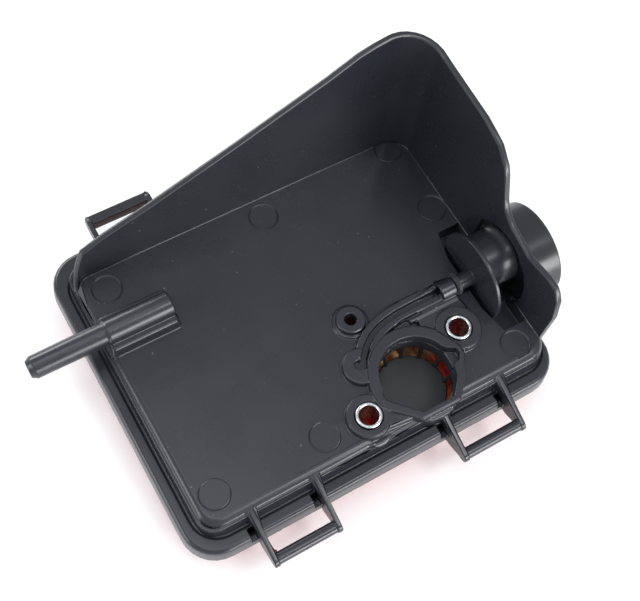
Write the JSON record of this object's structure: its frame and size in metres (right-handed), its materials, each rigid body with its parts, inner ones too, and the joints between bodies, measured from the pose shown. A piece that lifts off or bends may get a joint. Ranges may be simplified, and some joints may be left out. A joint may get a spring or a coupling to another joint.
{
  "type": "air filter housing",
  "caption": "Shallow air filter housing with a tall curved side shield, an intake flange with stud sleeves, a press primer and a hinged cover underneath.",
  "frame": {"origin": "middle of the cover's flat outer face, which the part rests on", "axes": "+Z from the cover to the carburettor side, +X along the hinge side towards the primer, +Y from the hinge side to the latch side"},
  "size_m": [0.1775, 0.1403, 0.0846],
  "materials": {
    "black_plastic": "satin moulded",
    "zinc_steel": "bright zinc",
    "zinc_steel_left": "bright zinc",
    "cage_plastic": "satin",
    "orange_frame": "soft moulded",
    "filter_paper": "pleated, matt",
    "red_plastic": "glossy, slightly translucent",
    "seal_rubber": "matt",
    "primer_plastic": "satin",
    "cup_plastic": "satin",
    "ring_plastic": "satin",
    "bulb_rubber": "soft",
    "washer_rubber": "matt"
  },
  "bodies": {
    "housing": {"base_housing": "black_plastic", "stud_sleeve_right": "zinc_steel", "stud_sleeve_left": "zinc_steel_left", "intake_cage": "cage_plastic", "filter_frame": "orange_frame", "filter_media": "filter_paper", "primer_backplate": "primer_plastic", "primer_cup": "cup_plastic", "primer_ring": "ring_plastic", "primer_seal": "washer_rubber"},
    "cover": {"cover": "red_plastic", "cover_seal": "seal_rubber"},
    "bulb": {"primer_bulb": "bulb_rubber"}
  },
  "joints": [
    {"name": "cover_hinge", "type": "hinge", "parent": "housing", "child": "cover", "pos_m": [0, -0.06735, 0.02], "axis": [-1, 0, 0], "range_deg": [0, 110]},
    {"name": "primer_press", "type": "slide", "parent": "housing", "child": "bulb", "axis": [-1, 0, 0], "range_m": [0, 0.0045], "stiffness_N_per_m": 300}
  ]
}
